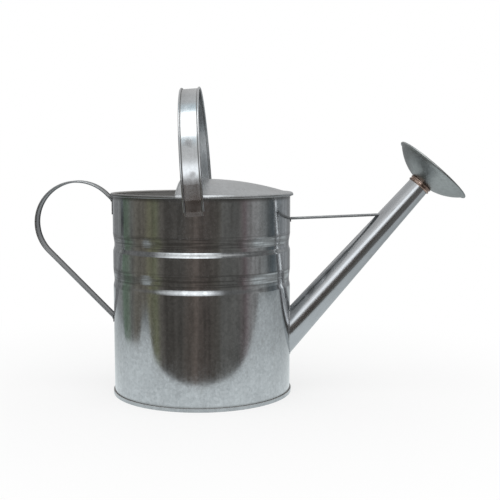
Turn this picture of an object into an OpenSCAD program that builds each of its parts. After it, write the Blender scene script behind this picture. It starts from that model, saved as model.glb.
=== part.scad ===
// Galvanised watering can with a half hood, a fixed hoop, a loop handle at the back
// and a screw-on rose. Millimetres. +Z up, the origin at the middle of the foot ring,
// the spout toward +X, the loop handle toward -X. The whole can mirrors across Y = 0.

/* [Body] */
// Outside radius of the straight wall
body_r = 110; // [80:1:150]
// Height over the rolled rim
body_h = 249; // [180:1:320]
// Thickness of every sheet piece
sheet_t = 0.7; // [0.5:0.1:1.5]
// Radius of the rolled rim
rim_r = 1.9; // [1.4:0.1:3]
// Height of the folded foot ring
foot_h = 4.2; // [3:0.1:8]
// Thickness of the fold outside the wall
foot_t = 1.4; // [1:0.1:3]
// How far the pan floor stands above the foot
pan_lift = 6; // [3:0.5:15]
// Depth of the upper rolled groove
groove_d = 1.6; // [0.6:0.1:3]
// Depth of the lower rolled groove
groove_b_d = 1.1; // [0.6:0.1:3]
// Height of a groove's gentle upper side
groove_top = 11.5; // [6:0.5:14]
// Height of a groove's flat bottom
groove_flat = 4; // [0:0.5:8]
// Height of a groove's steep lower side
groove_low = 5.8; // [3:0.1:10]
// Lower edge of the upper groove below the top of the can
groove_a_drop = 70.8; // [60:0.1:100]
// Spacing of the two grooves
groove_gap = 43; // [30:0.5:60]

/* [Hood] */
// Rise of the hood above the rim
hood_rise = 17; // [8:0.5:30]
// How far the open edge sits behind the middle
hood_back = 25; // [5:1:50]
// Radius of the hemmed open edge
hem_r = 1.3; // [1:0.1:2.5]

/* [Hoop] */
// Width of the hoop strap
hoop_w = 24.2; // [16:0.1:34]
// Length of each straight leg above the rim
hoop_leg = 17; // [0.5:0.5:60]
// Lean of the hoop toward the back, degrees
hoop_lean = 3.9; // [0:0.1:9]
// Where the foot of the hoop stands along X
hoop_x = -2.5; // [-12:0.5:12]
// Length of the flat foot on the wall
hoop_foot = 5; // [4:0.5:20]
// Radius of the bends that bring the leg out over the rim
joggle_r = 5; // [2:0.5:12]
// Slope of the leg between those bends, degrees
joggle_a = 18; // [10:1:35]

/* [Loop handle] */
// Width of the handle strap
loop_w = 22; // [14:0.5:30]
// Radius of the round part, at the middle of the strap
loop_r = 51; // [38:0.5:62]
// Distance of the loop centre from the wall, as a share of its radius
loop_hug = 0.87; // [0.75:0.01:0.95]
// Loop centre below the top of the can
loop_drop = 37.5; // [30:0.5:60]
// Slope of the straight lower run, degrees
loop_slope = 45.7; // [38:0.1:55]
// Angle at which its top runs into the wall, degrees
loop_meet = 45; // [36:1:52]
// Radius of the bends at both feet
bend_r = 4.5; // [3:0.5:8]
// Length of the flat upper foot
upper_foot = 16; // [8:0.5:22]
// Length of the flat lower foot
lower_foot = 4; // [3:0.5:18]

/* [Strap section] */
// Thickness of a strap between its rolled edges
strap_t = 0.8; // [0.7:0.1:2]
// Radius of a rolled strap edge
edge_r = 1.3; // [1:0.1:2]

/* [Spout] */
// Angle of the spout above the floor, degrees
spout_angle = 48.5; // [40:0.1:56]
// Height where the spout axis leaves the wall
spout_z = 77; // [55:0.5:100]
// Outside radius where the axis leaves the wall
spout_r0 = 19.95; // [15:0.05:28]
// Outside radius at the outlet
spout_r1 = 13.4; // [12:0.05:18]
// Length from the wall to the outlet
spout_len = 239.3; // [180:0.1:300]

/* [Brace] */
// Width of the brace strip
brace_w = 14; // [10:0.5:20]
// Brace below the top of the can, at the wall
brace_drop = 32.2; // [24:0.1:50]
// Slope of the brace, degrees
brace_slope = 2.4; // [0:0.1:6]
// Length of the flat foot on the wall
brace_foot = 4; // [3:0.5:14]

/* [Rose] */
// Outside radius of the rose over its lip
rose_r = 52; // [40:0.5:66]
// Radius the back shell is spun to
rose_bowl_r = 70; // [60:1:100]
// Radius of the rolled lip
lip_r = 1.5; // [1:0.1:2.5]
// Rise of the perforated face
face_rise = 3; // [1:0.5:8]
// Radius of one spray hole
spray_r = 0.9; // [0.5:0.1:1.5]
// Number of rings of spray holes
spray_rings = 5; // [3:1:6]
// Spacing of the rings
spray_pitch = 8.6; // [6:0.1:10]

/* [Screw collar] */
// Pitch of the rolled thread
thread_pitch = 3.5; // [2.5:0.1:5]
// Length of the ribbed part of the collar
collar_len = 6.7; // [5.5:0.1:10]
// Radius of a rolled rib of the collar
rib_r = 1.3; // [1:0.1:1.6]
// Length of the ferrule inside the spout
plug_len = 10; // [6:0.5:20]
// Thickness of the sealing washer
washer_t = 1.3; // [0.8:0.1:2.5]

/* [Fits] */
// Gap left for solder between two joined sheets
solder_gap = 0.12; // [0.05:0.01:0.3]
// Gap between the rolled rim and the hood folded round it
flange_gap = 0.3; // [0.2:0.05:0.6]
// Gap between the hood's flange and the legs of the hoop
hoop_gap = 0.35; // [0.1:0.05:1]
// Running clearance of the screw collar
run_gap = 0.28; // [0.15:0.01:0.5]
// Axial gap at the washer and at the collar's skirt
seat_gap = 0.2; // [0.1:0.05:0.5]
// Gap between the perforated face and the rolled lip
face_gap = 0.3; // [0.1:0.05:0.6]

/* [Part] */
// Which piece is drawn

/* [Hidden] */
$fn = 96;
seam_cut = 0.05;                        // how far a strap's steps stop short of a seam
seam_lap = 0.2;                         // half the length of the sleeve over a seam
seam_grow = 0.05;                       // how far that sleeve stands proud

rim_mid = body_r + 0.9;                 // middle of the rolled rim, from the axis
rim_z = body_h - rim_r;
groove_a = body_h - groove_a_drop;      // lower edges of the grooves
groove_b = groove_a - groove_gap;
groove_n = 8;                           // steps in each side of a groove

flange_in = rim_r + flange_gap;         // the hood's flange, round the rolled rim
flange_out = flange_in + sheet_t;
hood_edge = rim_mid - 2.1;              // where the dome runs into the flange
hood_top = body_h + hood_rise;
dome_r = (hood_edge * hood_edge + hood_rise * hood_rise) / (2 * hood_rise);
dome_z = hood_top - dome_r;
hem_x = hem_r - hood_back;              // plane of the hemmed open edge
hem_plane_r = sqrt(dome_r * dome_r - hem_x * hem_x) - sheet_t / 2;
hem_end = hood_edge - 1.8;              // the hem stops clear of the rolled rim
hem_arc = asin(sqrt(hem_end * hem_end - hem_x * hem_x) / hem_plane_r);

flange_open = 152;                      // where the flange ends inside, as an angle round the rim

hoop_in = rim_mid + flange_out + hoop_gap;  // inner face of the hoop's legs
hoop_mid = hoop_in + strap_t / 2;
hoop_wall = body_r + solder_gap + strap_t / 2;
joggle_run = (hoop_mid - hoop_wall - 2 * joggle_r * (1 - cos(joggle_a))) / sin(joggle_a);
joggle_h = 2 * joggle_r * sin(joggle_a) + joggle_run * cos(joggle_a);
hoop_out_z = rim_z - rim_r - 0.6;       // the legs are fully out from here up
hoop_z0 = hoop_out_z - joggle_h - hoop_foot;

loop_x = -(body_r + 2 * solder_gap + strap_t / 2);  // mid-plane of both feet
loop_cx = -(body_r + loop_hug * loop_r);
loop_cz = body_h - loop_drop;
loop_sweep = 270 - loop_slope - loop_meet;
meet_run = (loop_x - bend_r * (1 - cos(loop_meet)) - loop_cx - loop_r * cos(loop_meet)) / sin(loop_meet);
loop_z1 = loop_cz + loop_r * sin(loop_meet) - meet_run * cos(loop_meet) - bend_r * sin(loop_meet);
loop_run = (loop_x - bend_r * (1 - sin(loop_slope)) - loop_cx - loop_r * cos(270 - loop_slope))
           / cos(loop_slope);

taper = (spout_r0 - spout_r1) / spout_len;
spout_dip = 2.2 * spout_r0;             // how far the cone runs on inside the wall
function spout_out(s) = spout_r0 - taper * s;
function spout_in(s) = spout_out(s) - sheet_t;

top_a = spout_angle - atan(taper);      // slope of the spout's upper line
top_x = body_r - sin(spout_angle) * spout_r0;
top_z = spout_z + cos(spout_angle) * spout_r0;
brace_x = body_r + 2 * solder_gap;
brace_z = body_h - brace_drop;
brace_cross = (top_z - brace_z + (brace_x - top_x) * tan(top_a))
              / (sin(brace_slope) - cos(brace_slope) * tan(top_a));
brace_run = brace_cross + brace_w / 2 + 2 * edge_r;  // on into the spout, where it is cut off

ferrule_step = 0.4;                     // how far the ferrule's neck stands inside the spout's bore
ferrule_over = 1.8;                     // how far it reaches past the ribs of the collar
ferrule_r = spout_in(spout_len) - ferrule_step;
ferrule_end = spout_len + collar_len + ferrule_over;
thread_r = 0.62;                        // radius of a rolled thread ring on the ferrule
crest_r = ferrule_r + thread_r;
collar_bore = crest_r + run_gap;
collar_out = collar_bore + sheet_t;
collar_z0 = spout_len + seat_gap;
rib_mid = collar_bore + 0.4;            // middle of a rib's section, from the axis
rib_z0 = collar_z0 + 1.6;               // the first rib
rib_z = [rib_z0, rib_z0 + thread_pitch];
washer_z = ferrule_end + seat_gap;
collar_end = washer_z + washer_t + seat_gap + sheet_t;
shell_z0 = spout_len + collar_len;
shell_hole = collar_out + solder_gap;
bowl_z = shell_z0 + sqrt(rose_bowl_r * rose_bowl_r - shell_hole * shell_hole);
lip_mid = rose_r - lip_r;
flare_w = 3;                            // width and height of the flare between bowl and lip
flare_h = 3.6;
bowl_edge = lip_mid - flare_w;
function bowl_s(r) = bowl_z - sqrt(rose_bowl_r * rose_bowl_r - r * r);
lip_z = bowl_s(bowl_edge) + flare_h;
flare_lap = 0.3;                        // how far the flare runs on into bowl and lip
face_r = lip_mid - lip_r - face_gap;
face_lift = 0.6;                        // rim of the face above the middle of the lip
face_rad = (face_r * face_r + face_rise * face_rise) / (2 * face_rise);
face_top = lip_z + face_lift + face_rise;

// ---------------------------------------------------------------- helpers

// Places something with its +Z along the spout, from where the axis leaves the wall
module along_spout() {
    translate([body_r, 0, spout_z]) rotate([0, 90 - spout_angle, 0]) children();
}

// A strip of sheet between two points of a turned profile
module strip(p, q, t) {
    d = q - p;
    n = [-d[1], d[0]] * t / norm(d);
    polygon([p, q, q + n, p + n]);
}

// Section of a strap; x is the thickness. A rolled edge runs down each side, but not at a foot
module strap_section(w, lift, foot = false, grow = 0) {
    translate([-strap_t / 2 - grow, -w / 2 + edge_r]) square([strap_t + 2 * grow, w - 2 * edge_r]);
    if (!foot) for (s = [-1, 1])
        translate([lift, s * (w / 2 - edge_r)]) circle(r = edge_r + grow, $fn = 32);
}

// A bend of the strap: its axis lies along Y at a distance r, on the side s
module strap_bend(r, a, s, w, lift) {
    cut = 180 * seam_cut / (PI * r);
    translate([s * r, 0, 0]) rotate([0, 0, s > 0 ? 180 : 0]) rotate([90, 0, 0])
        rotate_extrude(angle = a - 2 * cut, start = cut)
            translate([r, 0]) mirror([s > 0 ? 1 : 0, 0]) strap_section(w, lift);
}

// Walks a strap along a path that starts and ends with a flat foot. Each step is [length, 0],
// or [radius, angle] for a bend, where a positive angle bends toward +x and a negative one
// toward -x. Steps stop short of each other, and a short sleeve of their section joins them
module strap(path, w, lift, i = 0) {
    if (i < len(path)) {
        r = path[i][0];
        a = path[i][1];
        foot = i == 0 || i == len(path) - 1;
        if (i > 0) translate([0, 0, -seam_lap]) linear_extrude(height = 2 * seam_lap)
            strap_section(w, lift, foot || i == 1, seam_grow);
        if (a == 0) {
            translate([0, 0, seam_cut]) linear_extrude(height = r - 2 * seam_cut)
                strap_section(w, lift, foot);
            translate([0, 0, r]) strap(path, w, lift, i + 1);
        } else {
            strap_bend(r, abs(a), sign(a), w, lift);
            translate([sign(a) * r, 0, 0]) rotate([0, a, 0]) translate([-sign(a) * r, 0, 0])
                strap(path, w, lift, i + 1);
        }
    }
}

// A rolled groove as [height, depth] points, from its lower edge up. Its sides are nearly
// straight, and ease a little at both ends
function side(t) = t - 0.15 * sin(360 * t) / (2 * PI);
function groove(z, d) = concat(
    [for (i = [0:groove_n]) [z + groove_low * i / groove_n, d * side(i / groove_n)]],
    [for (i = [0:groove_n]) [z + groove_low + groove_flat + groove_top * i / groove_n,
                             d * side(1 - i / groove_n)]]);

// ---------------------------------------------------------------- body

module body_shell() {
    wall = concat([[sheet_t + solder_gap, 0]], groove(groove_b, groove_b_d),
                  groove(groove_a, groove_d), [[rim_z, 0]]);
    n = len(wall);
    color("silver") difference() {
        rotate_extrude() {
            polygon(concat([for (w = wall) [body_r - w[1], w[0]]],
                           [for (i = [1:n]) [body_r - sheet_t - wall[n - i][1], wall[n - i][0]]]));
            translate([rim_mid, rim_z]) circle(r = rim_r, $fn = 32);
        }
        along_spout() translate([0, 0, -spout_dip])
            cylinder(r1 = spout_in(-spout_dip), r2 = spout_in(spout_dip), h = 2 * spout_dip);
    }
}

module base_pan() {
    in_r = body_r - sheet_t - solder_gap;
    out_r = body_r + solder_gap;
    color("gray") rotate_extrude() {
        translate([0, pan_lift]) square([in_r, sheet_t]);
        translate([in_r - sheet_t, 0]) square([sheet_t, pan_lift + sheet_t]);
        translate([in_r - sheet_t, 0]) square([out_r + foot_t - in_r + sheet_t, sheet_t]);
        translate([out_r, 0]) square([foot_t, foot_h]);
    }
}

module hood() {
    color("silver") {
        intersection() {
            rotate_extrude() {
                intersection() {
                    translate([0, dome_z]) difference() {
                        circle(r = dome_r, $fn = 720);
                        circle(r = dome_r - sheet_t, $fn = 720);
                    }
                    translate([0, rim_z]) square([hood_edge + sheet_t / 2, 4 * hood_rise]);
                }
                translate([rim_mid, rim_z]) difference() {
                    circle(r = flange_out, $fn = 32);
                    circle(r = flange_in, $fn = 32);
                    rotate(flange_open) square(3 * flange_out);
                    translate([-3 * flange_out, -6 * flange_out - 1]) square(6 * flange_out);
                }
            }
            translate([hem_x, -2 * body_r, rim_z - 2 * flange_out])
                cube([4 * body_r, 4 * body_r, 2 * hood_rise + 4 * flange_out]);
        }
        translate([hem_x, 0, dome_z]) rotate([90, 0, 90]) rotate([0, 0, 90 - hem_arc])
            rotate_extrude(angle = 2 * hem_arc, $fn = 720)
                translate([hem_plane_r, 0]) circle(r = hem_r, $fn = 32);
    }
}

// ---------------------------------------------------------------- handles

module top_handle() {
    half = [[hoop_foot, 0], [joggle_r, joggle_a], [joggle_run, 0], [joggle_r, -joggle_a],
            [hoop_leg, 0]];
    back = [[hoop_leg, 0], [joggle_r, -joggle_a], [joggle_run, 0], [joggle_r, joggle_a],
            [hoop_foot, 0]];
    color("lightgray") translate([hoop_x, 0, hoop_z0]) rotate([0, -hoop_lean, 0])
        translate([0, -hoop_wall, 0]) rotate([0, 0, -90])
            strap(concat(half, [[hoop_mid, -180]], back), hoop_w, edge_r - strap_t / 2);
}

module rear_handle() {
    color("lightgray") difference() {
        translate([loop_x, 0, loop_z1 - upper_foot])
            strap([[upper_foot, 0], [bend_r, -loop_meet], [meet_run, 0], [loop_r, -loop_sweep],
                   [loop_run, 0], [bend_r, 90 - loop_slope], [lower_foot, 0]], loop_w, 0);
        cylinder(r = body_r + solder_gap, h = body_h);
    }
}

// ---------------------------------------------------------------- spout

module spout_tube() {
    color("silver") difference() {
        along_spout() difference() {
            translate([0, 0, -spout_dip])
                cylinder(r1 = spout_out(-spout_dip), r2 = spout_r1, h = spout_len + spout_dip);
            translate([0, 0, -spout_dip - 1])
                cylinder(r1 = spout_in(-spout_dip - 1), r2 = spout_in(spout_len + 1),
                         h = spout_len + spout_dip + 2);
        }
        cylinder(r = body_r + solder_gap, h = body_h);
    }
}

module spout_brace() {
    color("lightgray") difference() {
        union() {
            translate([brace_x, 0, brace_z]) rotate([0, 90 - brace_slope, 0])
                linear_extrude(height = brace_run) strap_section(brace_w, 0);
            translate([brace_x, -brace_w / 2 + edge_r, brace_z - brace_foot])
                cube([strap_t, brace_w - 2 * edge_r, brace_foot]);
        }
        along_spout() cylinder(r1 = spout_out(0) + solder_gap,
                               r2 = spout_out(spout_len) + solder_gap, h = spout_len);
    }
}

module spout_ferrule() {
    color("goldenrod") along_spout() rotate_extrude() {
        polygon([[ferrule_r - sheet_t, spout_len - plug_len],
                 [spout_in(spout_len - plug_len) - solder_gap, spout_len - plug_len],
                 [spout_in(spout_len) - solder_gap, spout_len],
                 [ferrule_r, spout_len], [ferrule_r, ferrule_end],
                 [ferrule_r - sheet_t, ferrule_end]]);
        for (z = rib_z) translate([ferrule_r, z]) intersection() {
            circle(r = thread_r, $fn = 32);
            translate([-sheet_t / 2, -2 * thread_r]) square(4 * thread_r);
        }
    }
}

// ---------------------------------------------------------------- rose

module rose_collar() {
    color("sienna") along_spout() rotate_extrude() difference() {
        union() {
            translate([collar_bore, collar_z0]) square([sheet_t, collar_end - collar_z0]);
            translate([ferrule_r - sheet_t, collar_end - sheet_t])
                square([collar_bore - ferrule_r + 1.5 * sheet_t, sheet_t]);
            for (z = rib_z) translate([rib_mid, z]) circle(r = rib_r, $fn = 32);
        }
        for (z = rib_z) translate([rib_mid, z]) circle(r = rib_r - sheet_t, $fn = 32);
        translate([0, collar_z0 - 5]) square([collar_bore, collar_end - sheet_t - collar_z0 + 5]);
    }
}

module rose_washer() {
    color("dimgray") along_spout() translate([0, 0, washer_z]) difference() {
        cylinder(r = crest_r, h = washer_t);
        translate([0, 0, -1]) cylinder(r = ferrule_r - sheet_t, h = washer_t + 2);
    }
}

module rose_shell() {
    color("silver") along_spout() rotate_extrude() {
        intersection() {
            translate([0, bowl_z]) difference() {
                circle(r = rose_bowl_r, $fn = 180);
                circle(r = rose_bowl_r - sheet_t, $fn = 180);
            }
            translate([shell_hole, shell_z0 - 5]) square([bowl_edge - shell_hole, rose_bowl_r / 2]);
        }
        strip([bowl_edge - flare_lap, bowl_s(bowl_edge - flare_lap)], [lip_mid + flare_lap, lip_z],
              sheet_t);
        translate([lip_mid, lip_z]) circle(r = lip_r, $fn = 32);
    }
}

module rose_face() {
    color("silver") along_spout() difference() {
        intersection() {
            translate([0, 0, face_top - face_rad]) difference() {
                sphere(r = face_rad);
                sphere(r = face_rad - sheet_t);
            }
            translate([0, 0, face_top - 2 * face_rise - 2]) cylinder(r = face_r, h = 2 * face_rise + 4);
        }
        translate([0, 0, face_top - 2 * face_rise - 3]) {
            cylinder(r = spray_r, h = 2 * face_rise + 6, $fn = 24);
            for (k = [1:spray_rings], i = [0:6 * k - 1]) rotate([0, 0, 60 * i / k])
                translate([k * spray_pitch, 0, 0]) cylinder(r = spray_r, h = 2 * face_rise + 6, $fn = 24);
        }
    }
}

body_shell();
base_pan();
hood();
top_handle();
rear_handle();
spout_tube();
spout_brace();
spout_ferrule();
rose_collar();
rose_washer();
rose_shell();
rose_face();
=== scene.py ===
"""Looks of the galvanised watering can: zinc finishes, solder, and the pale studio it stands in."""

import math

import bmesh
import bpy
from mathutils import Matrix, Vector, noise


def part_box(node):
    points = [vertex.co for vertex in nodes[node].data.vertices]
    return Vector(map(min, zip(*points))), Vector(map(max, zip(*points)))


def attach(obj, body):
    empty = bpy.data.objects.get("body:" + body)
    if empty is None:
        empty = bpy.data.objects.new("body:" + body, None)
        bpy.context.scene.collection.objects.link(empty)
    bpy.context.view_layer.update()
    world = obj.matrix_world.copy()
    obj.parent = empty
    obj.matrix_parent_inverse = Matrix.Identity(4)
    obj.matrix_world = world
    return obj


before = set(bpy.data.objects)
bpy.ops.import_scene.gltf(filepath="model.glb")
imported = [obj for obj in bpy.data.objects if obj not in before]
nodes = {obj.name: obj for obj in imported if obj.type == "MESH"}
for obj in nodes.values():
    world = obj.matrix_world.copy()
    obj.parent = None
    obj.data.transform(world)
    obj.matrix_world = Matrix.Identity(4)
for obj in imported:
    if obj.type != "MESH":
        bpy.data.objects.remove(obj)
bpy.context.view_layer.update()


# ---------------------------------------------------------------- sizes, in metres

MM = 0.001
hoop_low, hoop_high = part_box("top_handle")

body_r = 110 * MM                       # outside of the wall
body_h = 249 * MM                       # height over the rolled rim
hoop_x = -2.5 * MM                      # where the hoop's feet stand, along X
hoop_r = hoop_high.y - 2.2 * MM         # middle of the hoop's strap, from the axis of its arc
hoop_axis_z = hoop_high.z - hoop_high.y
hoop_lean = math.radians(3.9)           # towards the loop handle
hoop_crease = 9.4 * MM                  # from the middle of a strap to the painted shade beside its rolled edges
loop_crease = 8.3 * MM
spout_angle = math.radians(48.5)        # slope of the spout
spout_z = 77 * MM                       # where its axis leaves the wall
spout_root_r = 19.95 * MM               # its outside there
spout_end_r = 13.4 * MM                 # and at its outlet
spout_len = 239.3 * MM
spout_taper = (spout_root_r - spout_end_r) / spout_len

spout_root = Vector((body_r, 0, spout_z))
spout_axis = Vector((math.cos(spout_angle), 0, math.sin(spout_angle)))
spout_up = Vector((-math.sin(spout_angle), 0, math.cos(spout_angle)))


# ---------------------------------------------------------------- shader helpers

class Tree:
    """Adds shader nodes to one node tree, and links them."""

    def __init__(self, tree):
        self.tree = tree
        tree.nodes.clear()

    def plug(self, socket, value):
        if isinstance(value, bpy.types.NodeSocket):
            self.tree.links.new(value, socket)
        else:
            socket.default_value = value

    def add(self, kind, settings=None, **inputs):
        node = self.tree.nodes.new("ShaderNode" + kind)
        for name, value in (settings or {}).items():
            setattr(node, name, value)
        for name, value in inputs.items():
            self.plug(node.inputs[name.replace("_", " ")], value)
        return node

    def math(self, operation, a, b=0.0):
        node = self.add("Math", {"operation": operation})
        self.plug(node.inputs[0], a)
        self.plug(node.inputs[1], b)
        return node.outputs[0]

    def total(self, *terms):
        """All the terms, added up in turn."""
        result = terms[0]
        for term in terms[1:]:
            result = self.math("ADD", result, term)
        return result

    def vector(self, operation, *values):
        """The node of a calculation with vectors, whose results are on its outputs."""
        node = self.add("VectorMath", {"operation": operation})
        for socket, value in zip(node.inputs, values):
            self.plug(socket, value)
        return node

    def fit(self, value, low, high, to_low=0.0, to_high=1.0, smooth=False):
        """Takes low to to_low and high to to_high, and stays between them."""
        node = self.add("MapRange", {"clamp": True}, Value=value)
        node.interpolation_type = "SMOOTHSTEP" if smooth else "LINEAR"
        ends = {"From Min": low, "From Max": high, "To Min": to_low, "To Max": to_high}
        for name, number in ends.items():
            self.plug(node.inputs[name], number)
        return node.outputs[0]

    def swing(self, value, to_low=0.0, to_high=1.0):
        """Noise, which mostly lies between 0.3 and 0.7, spread from to_low to to_high."""
        return self.fit(value, 0.3, 0.7, to_low, to_high)

    def blend(self, amount, a, b):
        """Colour a where amount is 0, b where it is 1."""
        node = self.add("Mix", {"data_type": "RGBA"})
        for index, value in ((0, amount), (6, a), (7, b)):
            self.plug(node.inputs[index], value)
        return node.outputs[2]

    def noise(self, place, size, detail=3.0, rough=0.55, stretch=(1, 1, 1)):
        """Noise whose features are about size metres across, stretched along each axis."""
        scaled = self.add("Mapping", Vector=place, Scale=tuple(1 / (size * s) for s in stretch))
        return self.add("TexNoise", Vector=scaled.outputs[0], Scale=1.0, Detail=detail,
                        Roughness=rough).outputs["Fac"]

    def bump(self, height, depth, under=None):
        """The normal of bumps depth metres deep, on top of the bumps under them."""
        node = self.add("Bump", Height=height, Distance=depth, Strength=1.0)
        if under:
            self.plug(node.inputs["Normal"], under)
        return node.outputs[0]

    def surface(self, **inputs):
        """Makes a Principled shader the surface."""
        shader = self.add("BsdfPrincipled", **inputs)
        self.add("OutputMaterial", Surface=shader.outputs[0])

    def glow(self, colour, strength):
        """Makes plain light the surface."""
        light = self.add("Emission", Color=colour, Strength=strength)
        self.add("OutputMaterial", Surface=light.outputs[0])


def new_material(name):
    material = bpy.data.materials.new(name)
    material.use_nodes = True
    return material, Tree(material.node_tree)


def grey(value, tint=(1, 1, 1)):
    return tuple(value * c for c in tint) + (1.0,)


# ---------------------------------------------------------------- finishes

ZINC_TINT = (0.97, 1.0, 1.02)
ZINC_DARK = (1.0, 0.97, 0.93)           # tint of scuffs, oxide and painted shade
SPANGLE = 3.5 * MM                      # size of the zinc's crystals, specks and rolled streaks
CLOUD = 45 * MM                         # of its dull clouds
SCUFF = 12 * MM                         # of its scuffs
BUCKLE = 50 * MM                        # of the sheet's faint buckles
RAGGED = 6 * MM                         # of the ragged outline of a mark
SPECK_BUMP = 3e-6                       # depths of the bumps, in metres
CRYSTAL_BUMP = 1.5e-6
BUCKLE_BUMP = 60e-6
GROOVE_FADE = 3 * MM
GROOVE_TOPS = [                         # the grooves' gentle upper sides, with a fade at each end
    (142 * MM, 160 * MM), (185 * MM, 203 * MM),
]


def spot(tree, place, centre, radius):
    """1 in the middle of a ragged round mark on the surface, 0 outside it."""
    wobble = tree.add("TexNoise", Vector=place, Scale=1 / RAGGED, Detail=3.0).outputs["Color"]
    shift = tree.vector("MULTIPLY_ADD", wobble, (radius * 0.8,) * 3, (-radius * 0.4,) * 3)
    ragged = tree.vector("ADD", place, shift.outputs[0])
    away = tree.vector("DISTANCE", ragged.outputs[0], tuple(centre))
    return tree.fit(away.outputs["Value"], radius, radius * 0.35, smooth=True)


def zinc(name, tone, roughness, grain=1.0, streak=(1, 1, 14), marks=(), darkening=None, inside=None,
         tint=ZINC_TINT):
    """Hot-dip galvanised sheet: fine spangle, rolled streaks, dull clouds and dark handling marks.

    tone is how pale it is, grain how strong its spangle is, and streak stretches the rolled streaks.
    darkening and inside are functions that give a mask: darkening for darker colour, mostly painted shade
    in creases and corners, inside for a dull oxidised side.
    """
    material, tree = new_material(name)
    place = tree.add("TexCoord").outputs["Object"]
    fine_grain = min(grain, 1.0)

    wander = tree.add("TexNoise", Vector=place, Scale=420.0, Detail=2.0).outputs["Color"]
    bent = tree.vector("MULTIPLY_ADD", wander, (SPANGLE * 0.5,) * 3, place)
    cells = tree.add("TexVoronoi", Vector=bent.outputs[0], Scale=1 / SPANGLE)
    facet = tree.add("SeparateColor", Color=cells.outputs["Color"])
    speck = tree.noise(place, SPANGLE, detail=3.0, rough=0.75)
    cloud = tree.noise(place, CLOUD, detail=4.0)
    rolled = tree.noise(place, SPANGLE, detail=3.0, stretch=streak)
    scuff = tree.fit(tree.noise(place, SCUFF, detail=5.0, rough=0.7), 0.54, 0.74, smooth=True)

    shade = tree.total(tree.fit(facet.outputs[0], 0, 1, -0.05 * grain, 0.05 * grain),
                       tree.swing(speck, -0.08 * grain, 0.08 * grain),
                       tree.swing(cloud, -0.06, 0.06), tree.swing(rolled, -0.05, 0.05), 1.0)
    colour = tree.blend(tree.fit(shade, 0.8, 1.2), grey(tone * 0.8, tint), grey(tone * 1.2, tint))
    colour = tree.blend(tree.math("MULTIPLY", scuff, 0.3), colour, grey(tone * 0.6, ZINC_DARK))
    rough = tree.total(tree.fit(facet.outputs[1], 0, 1, -0.02 * fine_grain, 0.02 * fine_grain),
                       tree.swing(cloud, -0.02, 0.03), tree.swing(rolled, -0.015, 0.015), roughness)

    # Painted shade: the colour is darkened and roughened where the mask is.
    if darkening:
        darkened = darkening(tree, place)
        colour = tree.blend(tree.math("MULTIPLY", darkened, 0.75), colour, grey(tone * 0.28, ZINC_DARK))
        rough = tree.math("ADD", rough, tree.math("MULTIPLY", darkened, 0.12))
    for centre, radius, depth, stain in marks:
        mark = tree.math("MULTIPLY", spot(tree, place, centre, radius), depth)
        colour = tree.blend(mark, colour, stain)
        rough = tree.math("ADD", rough, tree.math("MULTIPLY", mark, 0.15))
    metal = 1.0
    if inside:
        dull = inside(tree, place)
        colour = tree.blend(tree.math("MULTIPLY", dull, 0.8), colour, grey(tone * 0.8, ZINC_DARK))
        rough = tree.math("ADD", rough, tree.math("MULTIPLY", dull, 0.35))
        metal = tree.fit(dull, 0, 1, 1.0, 0.35)

    specks = tree.bump(speck, SPECK_BUMP * fine_grain)
    crystals = tree.bump(facet.outputs[2], CRYSTAL_BUMP * fine_grain, under=specks)
    buckled = tree.bump(tree.noise(place, BUCKLE, detail=1.0), BUCKLE_BUMP, under=crystals)
    tree.surface(Base_Color=colour, Metallic=metal, Roughness=rough, Normal=buckled)
    return material


def facing(tree, direction):
    """How far the surface faces along direction: the product of that and its normal."""
    normal = tree.add("NewGeometry").outputs["True Normal"]
    return tree.vector("DOT_PRODUCT", normal, direction).outputs["Value"]


def wall_inside(tree, place):
    """The side of the wall that faces the can's axis."""
    inward = tree.vector("MULTIPLY", place, (-1, -1, 0))
    return tree.fit(facing(tree, inward.outputs[0]), 0.0, 0.02)


def hood_inside(tree, place):
    """The underside of the hood."""
    return tree.fit(facing(tree, (0, 0, -1)), 0.2, 0.4)


def pan_inside(tree, place):
    """The top of the pan's floor."""
    return tree.fit(facing(tree, (0, 0, 1)), 0.5, 0.7)


def wall_shade_and_lines(tree, place):
    """Painted shade on the wall under its rolled rim and above the foot ring, and darker broken level lines
    on the grooves' gentle upper sides.
    """
    height = tree.add("SeparateXYZ", Vector=place).outputs["Z"]
    # Painted shade: darker under the rolled rim and in the crease above the foot ring.
    under_rim = tree.fit(height, body_h - 9 * MM, body_h - 4.5 * MM, smooth=True)
    at_foot = tree.fit(height, 7.5 * MM, 4.5 * MM, 0.0, 0.7, smooth=True)
    darkened = tree.math("MAXIMUM", under_rim, at_foot)
    # Darker broken level lines on the grooves' gentle upper sides.
    lines = tree.noise(place, 2.2 * MM, detail=2.0, stretch=(24, 24, 1))
    lines = tree.fit(lines, 0.42, 0.58, 0.0, 0.65, smooth=True)
    for low, high in GROOVE_TOPS:
        above = tree.fit(height, low, low + GROOVE_FADE, smooth=True)
        below = tree.fit(height, high - GROOVE_FADE, high, 1.0, 0.0, smooth=True)
        within = tree.math("MULTIPLY", above, below)
        darkened = tree.math("MAXIMUM", darkened, tree.math("MULTIPLY", lines, within))
    return darkened


def crease_shade(tree, across, middle):
    """A thin line of painted shade on both halves of a strap, beside each rolled edge."""
    width = 0.9 * MM
    away = tree.math("ABSOLUTE", tree.math("SUBTRACT", tree.math("ABSOLUTE", across), middle))
    return tree.fit(away, width, width * 0.3, smooth=True)


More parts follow.
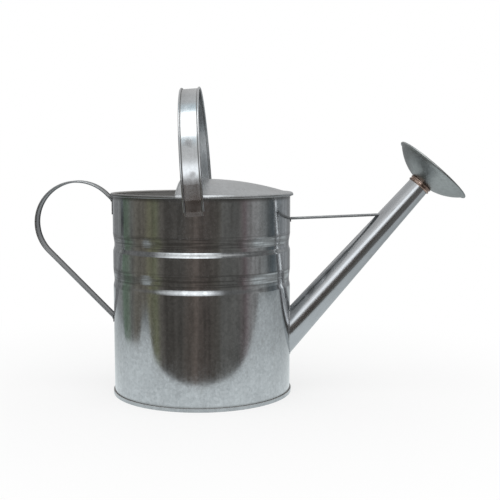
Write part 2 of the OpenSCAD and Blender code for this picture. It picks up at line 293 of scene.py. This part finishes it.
def hoop_shade_and_darkening(tree, place):
    """Painted shade beside the hoop's rolled edges, and a darker inner side of its arch, darkest towards
    its edges.
    """
    axes = tree.add("SeparateXYZ", Vector=place).outputs
    lean = tree.math("MULTIPLY", tree.math("SUBTRACT", axes["Z"], hoop_low.z), math.sin(hoop_lean))
    across = tree.math("ADD", tree.math("SUBTRACT", axes["X"], hoop_x), lean)
    above = tree.math("MAXIMUM", tree.math("SUBTRACT", axes["Z"], hoop_axis_z), 0.0)
    squares = tree.math("ADD", tree.math("POWER", above, 2.0), tree.math("MULTIPLY", axes["Y"], axes["Y"]))
    inner = tree.fit(tree.math("SQRT", squares), hoop_r, hoop_r - 0.8 * MM)
    inner = tree.math("MULTIPLY", inner, tree.fit(axes["Z"], body_h, body_h + 8 * MM))
    edge = tree.fit(tree.math("ABSOLUTE", across), 8 * MM, 10 * MM, 0.25, 1.0, smooth=True)
    return tree.math("MAXIMUM", tree.math("MULTIPLY", inner, edge), crease_shade(tree, across, hoop_crease))


def loop_painted_shade(tree, place):
    """Painted shade beside the rolled edges of the loop handle."""
    return crease_shade(tree, tree.add("SeparateXYZ", Vector=place).outputs["Y"], loop_crease)


def rust(name):
    """Thin brown rust over bright metal, rubbed through to copper in patches."""
    material, tree = new_material(name)
    place = tree.add("TexCoord").outputs["Object"]
    patch = tree.noise(place, 9 * MM, detail=4.0, rough=0.6)
    grain = tree.noise(place, 2 * MM, detail=2.0, rough=0.6)
    brown = tree.blend(tree.swing(grain), (0.17, 0.11, 0.09, 1), (0.22, 0.15, 0.12, 1))
    colour = tree.blend(tree.fit(patch, 0.4, 0.6, smooth=True), brown, (0.48, 0.36, 0.30, 1))
    rough = tree.fit(patch, 0.4, 0.65, 0.24, 0.14)
    tree.surface(Base_Color=colour, Metallic=0.9, Roughness=rough, Normal=tree.bump(grain, 1e-6))
    return material


def rubber(name):
    """Dull black rubber with a dusty bloom."""
    material, tree = new_material(name)
    place = tree.add("TexCoord").outputs["Object"]
    dust = tree.noise(place, 3 * MM, detail=4.0)
    colour = tree.blend(tree.fit(dust, 0.4, 0.7), grey(0.03), grey(0.07))
    tree.surface(Base_Color=colour, Roughness=0.7, Normal=tree.bump(dust, 2e-5))
    return material


# ---------------------------------------------------------------- solder

def bead(name, path, radius, body, material):
    """A lumpy bead of solder along a closed path of points, lying half in the corner it fills."""
    mesh = bmesh.new()
    sides = 10
    count = len(path)
    rings = []
    for i, point in enumerate(path):
        ahead = (path[(i + 1) % count] - path[i - 1]).normalized()
        side = ahead.orthogonal().normalized()
        up = ahead.cross(side)
        size = radius * (1 + 0.35 * noise.noise(point * 260))
        rings.append([mesh.verts.new(point + (side * math.cos(a) + up * math.sin(a)) * size)
                      for a in (2 * math.pi * k / sides for k in range(sides))])
    for i in range(count):
        here = rings[i]
        after = rings[(i + 1) % count]
        for k in range(sides):
            beside = (k + 1) % sides
            mesh.faces.new((here[k], here[beside], after[beside], after[k]))
    return finish_piece(name, mesh, body, material)


def finish_piece(name, mesh, body, material):
    """Makes the mesh a smooth piece that moves with body."""
    data = bpy.data.meshes.new(name)
    bmesh.ops.recalc_face_normals(mesh, faces=mesh.faces)
    mesh.to_mesh(data)
    mesh.free()
    data.shade_smooth()
    data.materials.append(material)
    piece = bpy.data.objects.new(name, data)
    bpy.context.scene.collection.objects.link(piece)
    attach(piece, body)
    return piece


def spout_joint_path(steps=144):
    """Points where the spout's outside meets the wall."""
    path = []
    for k in range(steps):
        a = 2 * math.pi * k / steps
        out = spout_up * math.cos(a) + Vector((0, 1, 0)) * math.sin(a)
        along = 0.0
        for _ in range(20):
            r = spout_root_r - spout_taper * along
            y = out.y * r
            x = math.sqrt(body_r ** 2 - y ** 2)
            along = (x - body_r - out.x * r) / spout_axis.x
        path.append(spout_root + spout_axis * along + out * (spout_root_r - spout_taper * along))
    return path


# ---------------------------------------------------------------- the can

SMUDGE = (0.17, 0.16, 0.16, 1)
STAIN = (0.17, 0.125, 0.1, 1)
hoop_marks = [                          # smudges down the front of the hoop, and a stain on its foot
    (Vector((-9, -101, 307)) * MM, 9 * MM, 0.6, SMUDGE),
    (Vector((-4, -113, 273)) * MM, 5 * MM, 0.45, SMUDGE),
    (Vector((-1, -113, 245)) * MM, 12 * MM, 0.5, STAIN),
    (Vector((-3, -112, 230)) * MM, 8 * MM, 0.45, STAIN),
]

wall = zinc("zinc_wall", tone=0.50, roughness=0.12, grain=1.4, darkening=wall_shade_and_lines, inside=wall_inside)
pan = zinc("zinc_pan", tone=0.44, roughness=0.26, inside=pan_inside)
dome = zinc("zinc_hood", tone=0.50, roughness=0.3, streak=(1, 12, 1), inside=hood_inside)
hoop = zinc("zinc_hoop", tone=0.50, roughness=0.2, streak=(1, 6, 6), grain=0.6, marks=hoop_marks,
            darkening=hoop_shade_and_darkening)
loop = zinc("zinc_loop", tone=0.33, roughness=0.3, streak=(6, 1, 6), grain=0.3, darkening=loop_painted_shade)
tube = zinc("zinc_spout", tone=0.47, roughness=0.19, streak=(8, 1, 8), grain=0.1, tint=(0.96, 0.99, 1.02))
strip = zinc("zinc_brace", tone=0.22, roughness=0.38, streak=(12, 1, 1), grain=0.3)
bowl = zinc("zinc_rose", tone=0.38, roughness=0.34, streak=(1, 1, 1), grain=0.8, tint=(0.95, 1.0, 0.99))
face = zinc("zinc_rose_face", tone=0.44, roughness=0.3, streak=(1, 1, 1), grain=0.6)
brass = zinc("ferrule_tarnish", tone=0.36, roughness=0.34, streak=(1, 1, 1), tint=(1.1, 0.95, 0.75))
brown = rust("collar_rust")
black = rubber("washer_rubber")

FINISHES = {
    "body_shell": wall, "base_pan": pan, "hood": dome, "top_handle": hoop, "rear_handle": loop,
    "spout_tube": tube, "spout_brace": strip, "spout_ferrule": brass, "rose_collar": brown,
    "rose_washer": black, "rose_shell": bowl, "rose_face": face,
}
for name, material in FINISHES.items():
    node = nodes[name]
    node.data.materials.clear()
    node.data.materials.append(material)

solder = zinc("solder", tone=0.40, roughness=0.3, streak=(1, 1, 1), grain=0.5)
bead("spout_solder", spout_joint_path(), 0.9 * MM, "can", solder)


# ---------------------------------------------------------------- the studio

scene = bpy.context.scene
room_r = 2.4                            # distance of the room's walls
room_low = -2.0
room_high = 3.6
eye_z = 0.2                             # height in the can from which the room is laid out
raised_from = (0.04, 0.24)              # where LEVEL gives way to RAISED: tangents of the elevation
high_from = (0.38, 0.52)                # and RAISED to HIGH
lamp_z = 1.35
lamp_place = (-0.02, -0.375, lamp_z)
lamp_wide = 0.6                         # along X
lamp_deep = 0.75                        # along Y
lamp_power = 3.43                       # watts
camera_place = (0.0635, -1.1387, 0.2897)
camera_tilt = math.radians(84.35)       # up from straight down
camera_turn = math.radians(0.176)
camera_lens = 65.83                     # mm, on a sensor 36 mm wide
TABLE = [                               # outline of the white table that the metal mirrors
    (-0.30, -0.236), (0.98, -0.236), (0.98, 0.9), (-0.6, 0.9), (-0.6, 0.25), (-0.45, 0.1),
    (-0.45, -0.12), (-0.70, -0.20), (-0.72, -0.33),
]
TABLE_FADES = [                         # axis, where the fade starts and ends, and the level at each
    ("X", 0.2, 0.5, 1.0, 0.88),
    ("X", -0.7, -0.42, 0.35, 1.0),
    ("Y", -0.1, 0.3, 1.0, 0.82),
]
HALO_SIDES = (-0.32, 0.28)              # left and right edges of the glowing cards round the lamp
HALO_TINT = (0.84, 0.97, 1.04)
HALOS = [                               # name, front and back edges, strength
    ("halo_rim", 0.0, 0.06, 2.0),
    ("halo_back", 0.06, 0.3, 1.0),
    ("halo_front", -1.0, -0.75, 1.0),
]


def build_world():
    """White where the camera or the metal sees it, and a little dimmer as light."""
    world = bpy.data.worlds.new("studio")
    scene.world = world
    world.use_nodes = True
    tree = Tree(world.node_tree)
    path = tree.add("LightPath").outputs
    mirrored = tree.math("MAXIMUM", path["Is Glossy Ray"], path["Is Transmission Ray"])
    seen = tree.math("MAXIMUM", path["Is Camera Ray"], mirrored)
    sky = tree.add("Background", Color=(1, 1, 1, 1), Strength=tree.fit(seen, 0, 1, 0.88, 1.0))
    tree.add("OutputWorld", Surface=sky.outputs[0])


def build_floor():
    """White for the camera, with the can's soft shadow left in it close to the can."""
    material, tree = new_material("floor")
    path = tree.add("LightPath").outputs
    away = tree.vector("LENGTH", tree.add("TexCoord").outputs["Object"])
    paper = tree.add("BsdfDiffuse", Color=grey(0.9))
    glow = tree.add("Emission", Color=(1, 1, 1, 1), Strength=1.0)
    share = tree.fit(away.outputs["Value"], 0.2, 0.6, 0.72, 1.0, smooth=True)
    pale = tree.add("MixShader", Fac=tree.math("MULTIPLY", path["Is Camera Ray"], share))
    tree.plug(pale.inputs[1], paper.outputs[0])
    tree.plug(pale.inputs[2], glow.outputs[0])
    tree.add("OutputMaterial", Surface=pale.outputs[0])
    mesh = bmesh.new()
    bmesh.ops.create_grid(mesh, x_segments=4, y_segments=4, size=8)
    floor = stage_object("floor", mesh, material)
    floor.visible_glossy = False


def stage_object(name, mesh, material):
    """Makes the mesh part of the studio, and not of the can."""
    data = bpy.data.meshes.new(name)
    mesh.to_mesh(data)
    mesh.free()
    data.materials.append(material)
    item = bpy.data.objects.new(name, data)
    scene.collection.objects.link(item)
    return item


def card(name, corners, material, quads=None):
    """A studio card that only the metal mirrors."""
    mesh = bmesh.new()
    points = [mesh.verts.new(c) for c in corners]
    for quad in quads or [range(len(points))]:
        mesh.faces.new([points[i] for i in quad])
    item = stage_object(name, mesh, material)
    item.visible_camera = False
    item.visible_diffuse = False
    item.visible_shadow = False


def glow_material(name, colour):
    material, tree = new_material(name)
    tree.glow(colour, 1.0)
    return material


def table_material():
    """White, and dimmer away from the can, at both sides and behind it."""
    material, tree = new_material("table")
    place = tree.add("TexCoord").outputs["Object"]
    axes = tree.add("SeparateXYZ", Vector=place).outputs
    away = tree.vector("LENGTH", place).outputs["Value"]
    level = tree.fit(away, body_r, body_r * 5, 0.95, 0.74)
    for axis, start, end, at_start, at_end in TABLE_FADES:
        fade = tree.fit(axes[axis], start, end, at_start, at_end, smooth=True)
        level = tree.math("MULTIPLY", level, fade)
    tree.glow((0.92, 0.98, 1, 1), level)
    return material


# Azimuth from the front in degrees, + to the right, and the colour seen there
LEVEL = [                               # near eye height
    (-180, (0.42, 0.43, 0.44)), (-145, (0.36, 0.37, 0.38)), (-122, (0.32, 0.33, 0.33)),
    (-116, (0.18, 0.25, 0.19)), (-102, (0.20, 0.25, 0.20)), (-97, (0.21, 0.21, 0.20)),
    (-86, (0.22, 0.205, 0.175)), (-72, (0.21, 0.19, 0.16)), (-66, (0.25, 0.24, 0.165)),
    (-56, (0.22, 0.23, 0.15)), (-48, (0.17, 0.155, 0.14)), (-40, (0.12, 0.11, 0.10)),
    (-20, (0.105, 0.098, 0.09)), (-8, (0.19, 0.158, 0.138)), (2, (0.17, 0.14, 0.125)),
    (8, (0.13, 0.11, 0.10)), (25, (0.13, 0.122, 0.108)), (27, (0.19, 0.187, 0.178)),
    (50, (0.18, 0.178, 0.17)),
    (58, (0.22, 0.17, 0.18)), (66, (0.38, 0.37, 0.37)), (76, (0.44, 0.44, 0.44)),
    (88, (0.32, 0.33, 0.33)), (96, (0.15, 0.17, 0.18)), (108, (0.15, 0.18, 0.20)),
    (116, (0.33, 0.36, 0.38)), (128, (0.40, 0.42, 0.44)), (150, (0.32, 0.33, 0.34)),
    (162, (0.42, 0.43, 0.44)), (180, (0.42, 0.43, 0.44)),
]
RAISED = [                              # above that, up to about 25 degrees
    (-180, (0.58, 0.58, 0.58)), (-128, (0.5, 0.5, 0.5)), (-112, (0.2, 0.2, 0.2)),
    (-62, (0.2, 0.2, 0.2)), (-36, (1.2, 1.23, 1.26)), (-20, (1.9, 1.95, 2.0)), (8, (1.9, 1.95, 2.0)),
    (20, (0.9, 0.92, 0.95)), (30, (0.18, 0.18, 0.18)),
    (104, (0.2, 0.2, 0.2)), (125, (0.5, 0.5, 0.5)), (180, (0.58, 0.58, 0.58)),
]
HIGH = [                                # and from there to the ceiling
    (-180, (0.7, 0.7, 0.7)), (-110, (0.62, 0.62, 0.62)), (-60, (0.62, 0.62, 0.62)),
    (-30, (0.88, 0.88, 0.88)), (30, (0.88, 0.88, 0.88)), (60, (0.62, 0.62, 0.62)),
    (110, (0.62, 0.62, 0.62)), (180, (0.7, 0.7, 0.7)),
]


def round_the_can(tree, turn, stops):
    """A colour ramp over the azimuth, from -pi to pi."""
    ramp = tree.add("ValToRGB", Fac=tree.fit(turn, -math.pi, math.pi))
    points = ramp.color_ramp.elements
    while len(points) > 1:
        points.remove(points[0])
    points[0].position = 0.0
    points[0].color = stops[0][1] + (1,)
    for angle, colour in stops[1:]:
        point = points.new((angle + 180) / 360)
        point.color = colour + (1,)
    return ramp.outputs["Color"]


def room_material():
    """Soft patches of a plain room with a window in front, placed by their direction from the can."""
    material, tree = new_material("room")
    place = tree.add("TexCoord").outputs["Object"]
    axes = tree.add("SeparateXYZ", Vector=place).outputs
    turn = tree.math("ARCTAN2", axes["X"], tree.math("MULTIPLY", axes["Y"], -1.0))
    ragged = tree.add("TexNoise", Vector=place, Scale=1.6, Detail=3.0).outputs["Fac"]
    turn = tree.math("ADD", turn, tree.swing(ragged, -0.05, 0.05))
    clutter = tree.add("TexNoise", Vector=place, Scale=3.0, Detail=4.0, Roughness=0.6).outputs["Fac"]
    rise = tree.math("DIVIDE", tree.math("SUBTRACT", axes["Z"], eye_z), room_r)
    upright = tree.add("CombineXYZ", X=tree.math("MULTIPLY", turn, 16.0), Y=rise).outputs[0]
    stripes = tree.add("TexNoise", Vector=upright, Scale=1.0, Detail=4.0, Roughness=0.6).outputs["Fac"]
    colour = round_the_can(tree, turn, LEVEL)
    colour = tree.blend(tree.fit(stripes, 0.45, 0.75), colour, (0.06, 0.055, 0.05, 1))
    for bounds, stops in ((raised_from, RAISED), (high_from, HIGH)):
        colour = tree.blend(tree.fit(rise, *bounds, smooth=True), colour, round_the_can(tree, turn, stops))
    tree.glow(colour, tree.swing(clutter, 0.75, 1.25))
    return material


def room_outline(steps):
    """Points round the room's wall, as seen from above."""
    turns = [2 * math.pi * k / steps for k in range(steps)]
    return [(room_r * math.sin(a), -room_r * math.cos(a)) for a in turns]


def drum(name, low, high, material, steps=144):
    """The upright wall of the room, all round the can."""
    corners, quads = [], []
    for k, (x, y) in enumerate(room_outline(steps)):
        corners += [(x, y, low), (x, y, high)]
        after = (k + 1) % steps
        quads.append((2 * k, 2 * after, 2 * after + 1, 2 * k + 1))
    card(name, corners, material, quads)


def disc(name, height, material, steps=72):
    """A round card as wide as the room."""
    card(name, [(x, y, height) for x, y in room_outline(steps)], material)


def build_lamp():
    """A soft lamp above, with glowing cards level with it, in front and behind, for the metal to mirror."""
    left, right = HALO_SIDES
    for name, near, far, strength in HALOS:
        corners = [(left, near, lamp_z), (right, near, lamp_z), (right, far, lamp_z), (left, far, lamp_z)]
        card(name, corners, glow_material(name, grey(strength, HALO_TINT)))
    lamp = bpy.data.lights.new("soft_lamp", "AREA")
    lamp.shape = "RECTANGLE"
    lamp.size = lamp_wide
    lamp.size_y = lamp_deep
    lamp.energy = lamp_power
    item = bpy.data.objects.new("soft_lamp", lamp)
    item.location = lamp_place
    item.visible_camera = False
    scene.collection.objects.link(item)


def build_studio():
    build_world()
    build_floor()
    card("table", [(x, y, 0) for x, y in TABLE], table_material())
    drum("room", room_low, room_high, room_material())
    disc("room_floor", room_low, glow_material("room_floor", grey(0.12)))
    disc("ceiling", room_high, glow_material("ceiling", grey(0.75)))
    build_lamp()


def build_camera():
    data = bpy.data.cameras.new("camera")
    data.sensor_width = 36.0
    data.lens = camera_lens
    camera = bpy.data.objects.new("camera", data)
    camera.location = camera_place
    camera.rotation_euler = (camera_tilt, 0, camera_turn)
    scene.collection.objects.link(camera)
    scene.camera = camera


build_studio()
build_camera()
scene.view_settings.view_transform = "Standard"
